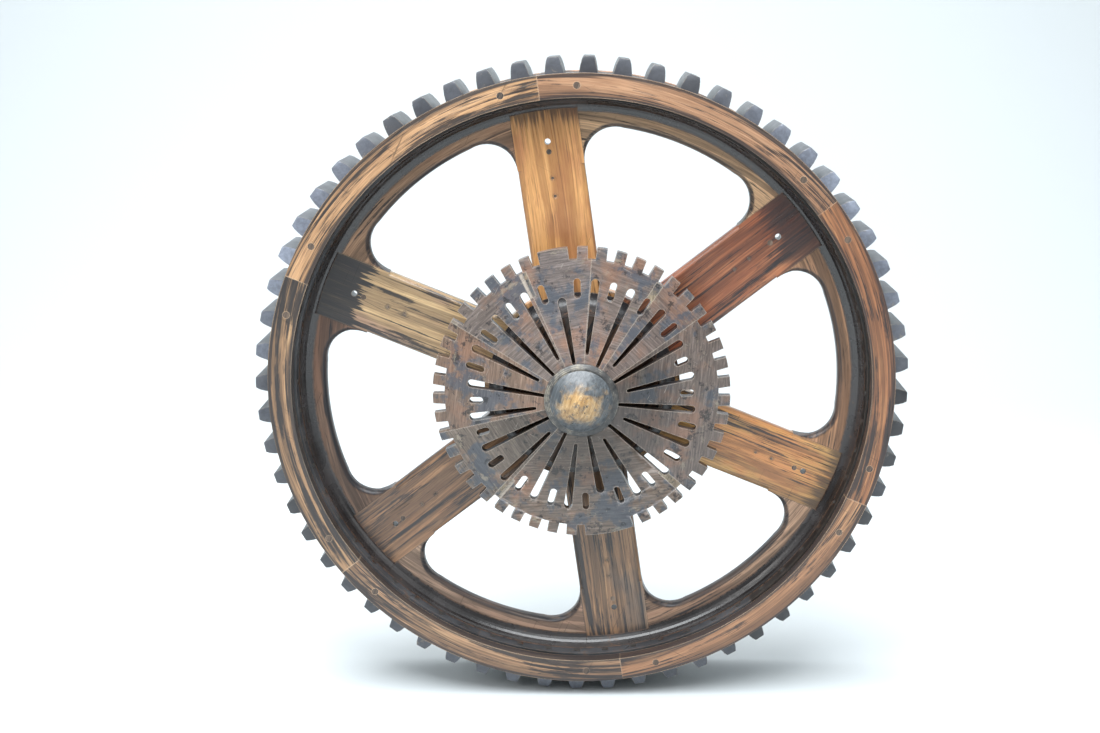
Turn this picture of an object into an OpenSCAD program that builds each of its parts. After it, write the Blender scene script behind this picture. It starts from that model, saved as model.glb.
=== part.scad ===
// Foundry gear pattern: a six-arm wooden gear wheel of 60 teeth with a slotted,
// toothed, dished disc that turns on a spindle in front of the hub.
// Axis along Y, front face towards -Y, up is +Z, centre of the web on the origin.

/* [Rim] */
// Outer radius of the front and back collar rings
collar_r = 470; // [420:1:520]
// Inner radius of the collar rings
collar_inner_r = 435; // [380:1:460]
// Outer radius of the core felloes, the seat of the teeth
core_r = 468; // [415:1:518]
// Inner radius of the core felloes
core_inner_r = 431; // [375:1:455]
// Overall width of the rim, front to back
rim_w = 136; // [80:1:180]
// Thickness of each collar ring
collar_t = 19; // [8:1:30]
// Radius of the filleting in the corner between rim and web
cove_r = 22; // [8:1:30]

/* [Teeth] */
// Number of wheel teeth
tooth_count = 60; // [24:6:96]
// Radius of the tooth tips
tooth_tip_r = 493.4; // [430:0.2:560]
// Half width of a tooth at its seat
tooth_half_base = 14.6; // [6:0.1:20]
// Half width of a tooth at its tip
tooth_half_tip = 8.3; // [3:0.1:12]
// Length of the teeth along the axis
tooth_face = 98; // [40:1:140]
// Radius of the tooth screws' shanks
tooth_screw_r = 2.2; // [1.5:0.1:4]

/* [Web and arms] */
// Thickness of the web ring and the arms
web_t = 24; // [12:1:50]
// Inner radius of the web ring, the outer edge of the windows
window_r = 393; // [320:1:420]
// Corner radius of the windows
window_corner_r = 46; // [15:1:70]
// Rounding of the window edges
edge_round = 8; // [3:0.5:11]
// Width of each arm
arm_w = 100; // [50:1:140]
// Distance from the axis to the arm's squared outer end
arm_end = 424; // [380:1:428]
// Radius of the open hole near the arm's outer end
arm_hole_r = 4.5; // [2:0.1:10]
// Turn of the arms from the vertical, clockwise seen from the front
wheel_turn = -8; // [-60:0.5:60]

/* [Hub] */
// Radius of the hub blocks
hub_r = 118; // [90:1:160]
// Radius of the hollow round from the hub blocks down to the arm roots
hub_cove_r = 32; // [8:1:45]
// Width of the hub, front to back
hub_w = 132; // [80:1:180]
// Radius of the boss that passes between the arm roots
boss_r = 40; // [30:1:60]
// Radius of the shaft bore, open at the back
bore_r = 20; // [8:0.5:30]
// Radius of the spindle the disc turns on
spindle_r = 14; // [6:0.5:18]

/* [Slotted disc] */
// Radius over the disc's teeth
disc_r = 222; // [150:1:260]
// Radius at the foot of the disc's teeth
disc_root_r = 204; // [140:1:250]
// Height of the cone's point above the middle of the web
cone_top = 119; // [100:1:150]
// Fall of the cone per unit of radius
cone_slope = 0.186; // [0:0.002:0.3]
// Thickness of the disc along the axis
disc_t = 14; // [6:0.5:24]
// Tooth pitches round the disc, counting those the two lugs take
disc_pitches = 47; // [31:2:61]
// Long slots round the disc
slot_count = 20; // [8:2:30]
// Width of a long slot at its outer end
slot_w_out = 12.4; // [5:0.2:18]
// Width of a long slot at its inner end
slot_w_in = 5.2; // [2:0.2:10]
// Width of a short slot
short_slot_w = 10; // [4:0.2:16]
// Turn of the disc's lug from the vertical, clockwise seen from the front
disc_turn = -11.3; // [-60:0.1:60]

/* [Dome] */
// Outer radius of the ring under the dome
flange_r = 55; // [40:0.5:70]
// Radius of the dome at its base
dome_r = 46; // [30:0.5:60]
// Height of the dome's tip above the middle of the web
dome_top = 143; // [120:1:170]

/* [Hidden] */
$fa = 2;
$fs = 0.35;
arms = 6;
arm_step = 360 / arms;
half_step = arm_step / 2;
rim_z = rim_w / 2;
core_z = rim_z - collar_t;
web_z = web_t / 2;
hub_z = hub_w / 2;
tooth_step = 360 / tooth_count;
teeth_per_arm = tooth_count / arms;
tooth_z = tooth_face / 2;
seat_facets = 720;
tooth_screw_z = 36;
screw_head_r = 4.5;
screw_head_h = 3;
screw_tip_r = core_r + 14;
cove_notch_r = 418;
cove_steps = 7;
joint_a = 0.05;
cove_start = 9;
arm_half = arm_w / 2;
corner_x = arm_half + window_corner_r + 1.2;
corner_reach = window_r - window_corner_r + 0.9;
corner_y = sqrt(corner_reach * corner_reach - corner_x * corner_x);
corner_a = asin(corner_x / corner_reach);
round_steps = 5;
arm_round_from = 160;
root_r = hub_r + hub_cove_r;
root_lap = 110;
hub_cove_steps = 9;
hub_cove_end = 78;
arm_hole_y = 372;
plug_r = 4;
arm_plug_y = 357;
arm_nail_r = 2;
arm_nail_y = [318, 291];
nail_depth = 9;
hub_screw_ring = 94;
hub_screw_r = 3;
hub_screw_head_r = 7;
hub_screw_head_h = 4;
rim_plug_r = 5;
rim_plug_depth = 14;
rim_plug_ring = (collar_r + collar_inner_r) / 2;
rim_plug_side = 7;
spindle_foot = web_z + 8;
washer_t = 5.6;
play = 0.3;
run_fit = 0.05;
bush_r = 20;
disc_in_r = 36;
backing_r = 50;
backing_z = hub_z + washer_t + play;
head_r = 18;
head_t = 3.5;
bush_top = cone_top - cone_slope * disc_in_r;
spindle_top = bush_top + play;
cavity_r = head_r + 1.2;
cavity_top = spindle_top + head_t + 1.2;
disc_joints = [15.3, 45.5, 67, 145.3, 230, 265.5, 311, 346];
pitch_a = 360 / disc_pitches;
disc_tooth_root_a = 4.5;
disc_tooth_tip_a = 3.9;
last_tooth = disc_pitches - 1;
foot_lug = (disc_pitches - 1) / 2;
slot_step = 360 / slot_count;
slot_out_r = 171.5;
slot_out_side_r = 164;
slot_out_lug_r = 146;
slot_in_deep_r = 56.5;
slot_in_high_r = 70.5;
short_out_r = 172.5;
short_in_r = 154;
short_out_side_r = 162;
short_in_side_r = 151;
inlay_t = 3;
inlay_in_r = 165;
inlay_angles = [346, 45.5, 145.3, 230];
inlay_half_a = 1.6;
flange_t = 4;
dome_nail_r = 2;
dome_nail_x = 26;
dome_nail_z = 122;

// --- placing: every piece is laid out flat, front face up, then stood on edge ---

module stand() {
    rotate([90, 0, 0]) children();
}

module on_wheel(turn = 0) {
    stand() rotate([0, 0, -wheel_turn - turn]) children();
}

module on_disc(turn = 0) {
    stand() rotate([0, 0, -disc_turn - turn]) children();
}

// a point x out from an arm's centre line and y along it, seen from the window's middle line
function from_arm(side, x, y) = [
    side * (y * sin(half_step) - x * cos(half_step)),
    y * cos(half_step) + x * sin(half_step)];

function cone_front(r) = cone_top - cone_slope * r;
function cone_back(r) = cone_front(r) - disc_t;

// turned ring, clockwise from angle a0 to a1, of a profile given as [radius, height] points
module turned_arc(a0, a1) {
    rotate([0, 0, 90 - a1]) rotate_extrude(angle = a1 - a0) children();
}

module ring_arc(r0, r1, z0, z1, a0, a1) {
    turned_arc(a0, a1) translate([r0, z0]) square([r1 - r0, z1 - z0]);
}

// cylinder that points out along a radius
module spoke_rod(a, r0, r1, z, rad) {
    rotate([0, 0, -a]) translate([0, r0, z]) rotate([-90, 0, 0]) cylinder(h = r1 - r0, r = rad);
}

// --- rim ---

module rim_plug_holes(z0) {
    for (side = [-1, 1])
        rotate([0, 0, -half_step - side * (half_step - rim_plug_side)])
            translate([0, rim_plug_ring, z0]) cylinder(h = rim_plug_depth, r = rim_plug_r);
}

module rim_front(k) {
    color([0.55, 0.36, 0.22])
        on_wheel(k * arm_step) difference() {
            ring_arc(collar_inner_r, collar_r, core_z, rim_z, 0, arm_step);
            rim_plug_holes(rim_z - rim_plug_depth);
        }
}

module rim_back(k) {
    color([0.5, 0.33, 0.2])
        on_wheel(k * arm_step) ring_arc(collar_inner_r, collar_r, -rim_z, -core_z, 0, arm_step);
}

module tooth_screw_cut(a) {
    for (z = [-tooth_screw_z, tooth_screw_z]) {
        spoke_rod(a, core_inner_r - 1, screw_tip_r, z, tooth_screw_r);
        spoke_rod(a, core_inner_r - 3, core_inner_r + screw_head_h, z, screw_head_r);
    }
}

module rim_core(k) {
    color([0.2, 0.16, 0.13])
        on_wheel((k + 0.5) * arm_step) difference() {
            ring_arc(core_inner_r, core_r, -core_z, core_z, 0, arm_step);
            for (i = [0:teeth_per_arm - 1]) tooth_screw_cut((i + 0.5) * tooth_step);
        }
}

// section of the filleting: a hollow quarter round whose inner edge is cut back to radius r0
function cove_section(r0) = concat([[core_inner_r, web_z], [r0, web_z]],
    [for (i = [0:cove_steps])
        let (a = cove_start + i * (90 - cove_start * 2) / cove_steps,
            r = core_inner_r - cove_r + cove_r * sin(a))
        if (r >= r0) [r, web_z + cove_r - cove_r * cos(a)]],
    [[core_inner_r, web_z + cove_r - cove_r * sin(cove_start)]]);

module cove_pieces(face) {
    lap = asin(arm_half / cove_notch_r);
    for (k = [0:arms - 1])
        on_wheel(k * arm_step) mirror([0, 0, face]) {
            turned_arc(lap + joint_a, arm_step - lap - joint_a)
                polygon(cove_section(core_inner_r - cove_r + cove_r * sin(cove_start)));
            turned_arc(-lap, lap) polygon(cove_section(cove_notch_r));
        }
}

module cove_front() {
    color([0.1, 0.09, 0.09]) cove_pieces(0);
}

module cove_back() {
    color([0.1, 0.09, 0.09]) cove_pieces(1);
}

module rim_plugs() {
    color([0.35, 0.24, 0.16])
        for (k = [0:arms - 1])
            on_wheel(k * arm_step) rim_plug_holes(rim_z - rim_plug_depth);
}

// --- teeth ---

module tooth_blank() {
    h = tooth_tip_r - core_r;
    w = tooth_half_base - tooth_half_tip;
    side = [[tooth_half_base, core_r - 6], [tooth_half_base, core_r],
        [tooth_half_base - 0.16 * w, core_r + 0.3 * h],
        [tooth_half_base - 0.52 * w, core_r + 0.68 * h],
        [tooth_half_tip, tooth_tip_r]];
    translate([0, 0, -tooth_z]) linear_extrude(height = tooth_face)
        polygon(concat(side, [for (i = [len(side) - 1:-1:0]) [-side[i][0], side[i][1]]]));
}

module teeth(k) {
    color([0.24, 0.27, 0.3])
        for (i = [0:teeth_per_arm - 1])
            on_wheel(k * arm_step + (i + 0.5) * tooth_step) difference() {
                tooth_blank();
                translate([0, 0, -rim_w]) cylinder(h = 2 * rim_w, r = core_r, $fn = seat_facets);
                for (z = [-tooth_screw_z, tooth_screw_z])
                    spoke_rod(0, core_r - 5, screw_tip_r, z, tooth_screw_r);
            }
}

module tooth_screws() {
    color([0.3, 0.3, 0.31])
        for (i = [0:tooth_count - 1], z = [-tooth_screw_z, tooth_screw_z])
            on_wheel((i + 0.5) * tooth_step) {
                spoke_rod(0, core_inner_r + screw_head_h - 0.5, screw_tip_r, z, tooth_screw_r);
                spoke_rod(0, core_inner_r - 0.6, core_inner_r + screw_head_h, z, screw_head_r);
            }
}

// --- web ---

module web_segment(k) {
    color([0.33, 0.22, 0.14])
        on_wheel((k + 0.5) * arm_step) difference() {
            intersection() {
                translate([0, 0, -web_z]) cylinder(h = web_t, r = core_inner_r);
                translate([0, 0, -web_z - 1]) linear_extrude(height = web_t + 2)
                    polygon([from_arm(-1, arm_half, corner_y), from_arm(-1, arm_half, collar_r),
                        from_arm(1, arm_half, collar_r), from_arm(1, arm_half, corner_y),
                        from_arm(1, corner_x, corner_y), from_arm(-1, corner_x, corner_y)]);
            }
            ring_arc(100, window_r, -web_t, web_t, corner_a - half_step, half_step - corner_a);
            for (side = [-1, 1])
                translate(concat(from_arm(side, corner_x, corner_y), [-web_t]))
                    cylinder(h = 2 * web_t, r = window_corner_r);
        }
}

// section of the waste a rounding plane takes off a window edge, from the open side
round_edge = concat([[0, -edge_round], [0, 1], [1 + edge_round, 1]],
    [for (i = [0:round_steps])
        let (a = i * 90 / round_steps)
        [1 + edge_round - edge_round * sin(a), edge_round * cos(a) - edge_round]]);

module arm(k) {
    color([0.6, 0.43, 0.25])
        on_wheel(k * arm_step) difference() {
            union() {
                ring_arc(0, root_r, -web_z, web_z, -half_step, half_step);
                translate([-arm_half, root_lap, -web_z]) cube([arm_w, arm_end - root_lap, web_t]);
            }
            translate([0, 0, -web_t]) cylinder(h = 2 * web_t, r = boss_r);
            for (face = [0, 1], side = [0, 1])
                mirror([0, 0, face]) mirror([side, 0, 0])
                    translate([arm_half + 1, corner_y, 0]) rotate([90, 0, 0])
                        linear_extrude(height = corner_y - arm_round_from)
                            polygon([for (p = round_edge) [-p[0], web_z + p[1]]]);
            translate([0, arm_hole_y, -web_t]) cylinder(h = 2 * web_t, r = arm_hole_r);
            arm_pegs();
            translate([0, hub_screw_ring, -web_t]) cylinder(h = 2 * web_t, r = hub_screw_r);
        }
}

module arm_pegs() {
    translate([0, arm_plug_y, web_z - nail_depth]) cylinder(h = nail_depth, r = plug_r);
    for (y = arm_nail_y)
        translate([0, y, web_z - nail_depth]) cylinder(h = nail_depth, r = arm_nail_r);
}

module arm_plugs() {
    color([0.4, 0.38, 0.36])
        for (k = [0:arms - 1]) on_wheel(k * arm_step) arm_pegs();
}

// --- hub ---

module hub_screw_holes() {
    for (k = [0:arms - 1]) rotate([0, 0, -k * arm_step]) translate([0, hub_screw_ring, 0]) {
        cylinder(h = hub_z + 1, r = hub_screw_r);
        translate([0, 0, hub_z - hub_screw_head_h])
            cylinder(h = hub_screw_head_h + 1, r = hub_screw_head_r);
    }
}

// hub block over the arms, turned with a hollow round at its foot
module hub_block() {
    rotate_extrude()
        polygon(concat([[0, web_z], [0, hub_z], [hub_r, hub_z]],
            [for (i = [0:hub_cove_steps])
                let (a = i * hub_cove_end / hub_cove_steps)
                [root_r - hub_cove_r * cos(a), web_z + hub_cove_r * (1 - sin(a))]],
            [[root_r - hub_cove_r * cos(hub_cove_end), web_z]]));
}

module hub_front() {
    color([0.22, 0.17, 0.13])
        on_wheel() difference() {
            hub_block();
            translate([0, 0, spindle_foot]) cylinder(h = hub_z, r = spindle_r);
            hub_screw_holes();
        }
}

module hub_back() {
    color([0.24, 0.18, 0.13])
        on_wheel() difference() {
            union() {
                mirror([0, 0, 1]) hub_block();
                translate([0, 0, -hub_z + 1]) cylinder(h = hub_z - 1 + web_z, r = boss_r);
            }
            translate([0, 0, -hub_z - 1]) cylinder(h = hub_w, r = bore_r);
            mirror([0, 0, 1]) hub_screw_holes();
        }
}

module hub_screws() {
    color([0.3, 0.3, 0.31])
        for (face = [0, 1], k = [0:arms - 1])
            on_wheel(k * arm_step) mirror([0, 0, face]) translate([0, hub_screw_ring, 0]) {
                translate([0, 0, 1]) cylinder(h = hub_z - hub_screw_head_h, r = hub_screw_r);
                translate([0, 0, hub_z - hub_screw_head_h])
                    cylinder(h = hub_screw_head_h, r = hub_screw_head_r);
            }
}

module spindle() {
    color([0.42, 0.42, 0.43])
        on_wheel() translate([0, 0, spindle_foot])
            cylinder(h = spindle_top - spindle_foot, r = spindle_r);
}

module thrust_washer() {
    color([0.36, 0.3, 0.2])
        on_wheel() translate([0, 0, hub_z]) difference() {
            cylinder(h = washer_t, r = disc_in_r);
            translate([0, 0, -1]) cylinder(h = washer_t + 2, r = spindle_r);
        }
}

module spindle_cap() {
    color([0.4, 0.4, 0.41])
        on_wheel() translate([0, 0, spindle_top]) cylinder(h = head_t, r = head_r);
}

// --- slotted disc ---

module plate_arc(r0, r1, a0, a1) {
    turned_arc(a0, a1) polygon([[r0, cone_back(r0)], [r1, cone_back(r1)],
        [r1, cone_front(r1)], [r0, cone_front(r0)]]);
}

module tooth_gap(a) {
    root = disc_root_r * PI / 180 * (pitch_a - disc_tooth_root_a) / 2;
    tip = disc_r * PI / 180 * (pitch_a - disc_tooth_tip_a) / 2;
    rotate([0, 0, -a]) linear_extrude(height = cone_top)
        polygon([[-root, disc_root_r], [root, disc_root_r], [tip, disc_r + 1], [-tip, disc_r + 1]]);
}

module slot(a, r0, w0, r1, w1) {
    rotate([0, 0, -a]) {
        linear_extrude(height = cone_top)
            polygon([[-w0 / 2, r0], [w0 / 2, r0], [w1 / 2, r1], [-w1 / 2, r1]]);
        translate([0, r0, 0]) cylinder(h = cone_top, r = w0 / 2 - 0.05);
        translate([0, r1, 0]) cylinder(h = cone_top, r = w1 / 2 - 0.05);
    }
}

function beside_lug(k) = k % (slot_count / 2) == 0;
function at_side(k) = abs(k % (slot_count / 2) - slot_count / 4) <= 1;
function long_out(k) = beside_lug(k) ? slot_out_lug_r : at_side(k) ? slot_out_side_r : slot_out_r;
function short_at_side(k) = at_side(k) && at_side(k + 1);

module slots_near(a0, a1) {
    for (k = [0:slot_count], shift = [0, 0.5]) {
        a = (k + shift) * slot_step;
        if (a > a0 - 5 && a < a1 + 5) {
            if (shift == 0)
                slot(a, k % 2 == 0 ? slot_in_deep_r : slot_in_high_r, slot_w_in,
                    long_out(k % slot_count), slot_w_out);
            else
                slot(a, short_at_side(k) ? short_in_side_r : short_in_r, short_slot_w,
                    short_at_side(k) ? short_out_side_r : short_out_r, short_slot_w);
        }
    }
}

module gaps_near(a0, a1) {
    for (i = [0:last_tooth]) {
        a = (i + 1) * pitch_a;
        joined = i == last_tooth || i == foot_lug - 1 || i == foot_lug;
        for (turn = [0, 360])
            if (!joined && a + turn > a0 - 5 && a + turn < a1 + 5) tooth_gap(a);
    }
}

module inlay_bed(a) {
    turned_arc(a - inlay_half_a, a + inlay_half_a)
        polygon([[inlay_in_r, cone_front(inlay_in_r) - inlay_t],
            [disc_root_r - 1, cone_front(disc_root_r - 1) - inlay_t],
            [disc_root_r - 1, cone_front(disc_root_r - 1)],
            [inlay_in_r, cone_front(inlay_in_r)]]);
}

module disc_sector(k) {
    a0 = disc_joints[k];
    a1 = k == len(disc_joints) - 1 ? disc_joints[0] + 360 : disc_joints[k + 1];
    color([0.45, 0.37, 0.34])
        on_disc() difference() {
            plate_arc(disc_in_r, disc_r, a0, a1);
            gaps_near(a0, a1);
            slots_near(a0, a1);
            if (a1 > 360) slots_near(a0 - 360, a1 - 360);
            for (a = inlay_angles) inlay_bed(a);
        }
}

module disc_inlays() {
    color([0.62, 0.56, 0.44])
        on_disc() for (a = inlay_angles) difference() {
            inlay_bed(a);
            slots_near(a - 4, a + 4);
        }
}

module disc_backing() {
    color([0.4, 0.3, 0.22])
        on_disc() rotate_extrude() polygon([[bush_r, backing_z], [backing_r, backing_z],
            [backing_r, cone_back(backing_r)], [disc_in_r, cone_back(disc_in_r)],
            [disc_in_r, bush_top], [bush_r, bush_top]]);
}

module disc_bush() {
    color([0.55, 0.45, 0.22])
        on_disc() translate([0, 0, backing_z]) difference() {
            cylinder(h = bush_top - backing_z, r = bush_r);
            translate([0, 0, -1]) cylinder(h = bush_top, r = spindle_r + run_fit);
        }
}

// --- dome ---

module dome_nails_at(z0, h) {
    for (side = [-1, 1])
        translate([side * dome_nail_x, side * 7, z0]) cylinder(h = h, r = dome_nail_r);
}

module dome_flange() {
    color([0.4, 0.4, 0.38])
        on_disc() rotate_extrude() polygon([[disc_in_r, bush_top], [flange_r, cone_front(flange_r)],
            [flange_r, cone_front(flange_r) + 2.4], [flange_r - 3, cone_front(flange_r) + 4.6],
            [dome_r + 1, bush_top + flange_t], [disc_in_r, bush_top + flange_t]]);
}

module dome_boss() {
    foot = bush_top + flange_t;
    rise = dome_top - foot;
    color([0.72, 0.57, 0.36])
        on_disc() difference() {
            rotate_extrude() polygon(concat([[0, bush_top], [disc_in_r, bush_top], [disc_in_r, foot],
                [dome_r, foot]],
                [for (u = [0.96, 0.88, 0.78, 0.66, 0.52, 0.38, 0.25, 0.12])
                    [dome_r * u, foot + rise * (0.55 * (1 - u) + 0.45 * (1 - u * u * u))]],
                [[0, foot + rise]]));
            translate([0, 0, bush_top - 1]) cylinder(h = cavity_top - bush_top + 1, r = cavity_r);
            dome_nails_at(dome_nail_z, rise);
        }
}

rim_front(0);  // rim_front_1
rim_front(1);  // rim_front_2
rim_front(2);  // rim_front_3
rim_front(3);  // rim_front_4
rim_front(4);  // rim_front_5
rim_front(5);  // rim_front_6
rim_core(0);  // rim_core_1
rim_core(1);  // rim_core_2
rim_core(2);  // rim_core_3
rim_core(3);  // rim_core_4
rim_core(4);  // rim_core_5
rim_core(5);  // rim_core_6
rim_back(0);  // rim_back_1
rim_back(1);  // rim_back_2
rim_back(2);  // rim_back_3
rim_back(3);  // rim_back_4
rim_back(4);  // rim_back_5
rim_back(5);  // rim_back_6
web_segment(0);  // web_segment_1
web_segment(1);  // web_segment_2
web_segment(2);  // web_segment_3
web_segment(3);  // web_segment_4
web_segment(4);  // web_segment_5
web_segment(5);  // web_segment_6
arm(0);  // arm_1
arm(1);  // arm_2
arm(2);  // arm_3
arm(3);  // arm_4
arm(4);  // arm_5
arm(5);  // arm_6
teeth(0);  // teeth_1
teeth(1);  // teeth_2
teeth(2);  // teeth_3
teeth(3);  // teeth_4
teeth(4);  // teeth_5
teeth(5);  // teeth_6
tooth_screws();
cove_front();
cove_back();
arm_plugs();
rim_plugs();
hub_front();
hub_back();
hub_screws();
spindle();
thrust_washer();
spindle_cap();
disc_sector(0);  // disc_sector_1
disc_sector(1);  // disc_sector_2
disc_sector(2);  // disc_sector_3
disc_sector(3);  // disc_sector_4
disc_sector(4);  // disc_sector_5
disc_sector(5);  // disc_sector_6
disc_sector(6);  // disc_sector_7
disc_sector(7);  // disc_sector_8
disc_inlays();
disc_backing();
disc_bush();
dome_flange();
dome_boss();
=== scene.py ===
"""Looks of the wooden gear pattern wheel: materials, hand-worked pieces, studio and camera.

Metres, Z up, wheel axis along Y, front towards -Y. Angles are degrees clockwise from the top,
seen from the front.
"""
import math
import random

import bmesh
import bpy
from mathutils import Matrix, Vector


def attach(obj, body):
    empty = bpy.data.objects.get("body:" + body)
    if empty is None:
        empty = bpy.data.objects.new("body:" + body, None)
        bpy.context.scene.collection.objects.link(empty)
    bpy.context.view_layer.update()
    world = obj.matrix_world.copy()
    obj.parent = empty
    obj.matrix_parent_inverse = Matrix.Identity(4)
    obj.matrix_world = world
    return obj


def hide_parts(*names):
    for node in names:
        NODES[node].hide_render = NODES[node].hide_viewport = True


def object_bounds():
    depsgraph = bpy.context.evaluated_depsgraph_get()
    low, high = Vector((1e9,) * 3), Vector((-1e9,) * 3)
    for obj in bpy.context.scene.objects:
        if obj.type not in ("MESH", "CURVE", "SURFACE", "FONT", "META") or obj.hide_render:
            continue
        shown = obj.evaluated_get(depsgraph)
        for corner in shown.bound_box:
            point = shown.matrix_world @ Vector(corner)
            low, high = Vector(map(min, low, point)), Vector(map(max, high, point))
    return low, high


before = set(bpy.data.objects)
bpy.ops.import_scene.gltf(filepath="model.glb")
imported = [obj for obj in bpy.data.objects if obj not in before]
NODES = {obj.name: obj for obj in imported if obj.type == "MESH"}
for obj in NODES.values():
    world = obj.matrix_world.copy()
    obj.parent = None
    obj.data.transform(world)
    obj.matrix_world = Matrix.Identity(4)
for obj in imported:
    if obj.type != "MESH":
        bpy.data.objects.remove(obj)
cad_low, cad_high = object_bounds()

# --- dimensions repeated from the part's design, in metres ---

ARMS = 6
ARM_STEP = 360 / ARMS
WHEEL_TURN = -8.0                  # direction of arm 1
DISC_TURN = -11.3                  # direction the disc's joint angles count from
DISC_JOINTS = [15.3, 45.5, 67, 145.3, 230, 265.5, 311, 346]

TEETH = 60
TOOTH_STEP = 360 / TEETH
TEETH_PER_NODE = TEETH // ARMS
CORE_R = 0.468                     # rim core's outside, where the teeth sit
CORE_INNER_R = 0.431               # rim core's inside, where the web ends
RIM_MID_R = 0.45
TIP_R = 0.4934
TOOTH_HALF_BASE = 0.0146
TOOTH_HALF_TIP = 0.0083
TOOTH_HALF_FACE = 0.049            # along the axis
TOOTH_SEAT = 0.0006                # how far a tooth's foot is let into the rim

ARM_HALF = 0.050
WEB_HALF = 0.012
WINDOW_R = 0.393                   # outer side of the windows
CORNER_R = 0.046                   # window corners, and how far out their centres are
CORNER_Y = 0.3340
CORNER_X = ARM_HALF + CORNER_R
CORNER_REACH = math.hypot(CORNER_X, CORNER_Y)
EDGE_ROUND = 0.0088                # rounding of the window edges
WEB_GAP = 0.0002                   # between a web board and the rim core

CONE_TOP = 0.119                   # where the disc's cone would meet the axis
CONE_SLOPE = 0.186
DOME_TOP = 0.143
DOME_R = 0.046
DOME_SEAT_R = 0.036                # the flange's hole, which the dome is let into
DOME_SEAT = 0.004
DOME_FOOT = CONE_TOP - CONE_SLOPE * DOME_SEAT_R + DOME_SEAT
CAP_ROOM_R = 0.0192                # hollow over the spindle's cap
CAP_ROOM_TOP = DOME_FOOT + 0.0010


# --- material kit ---

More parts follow.
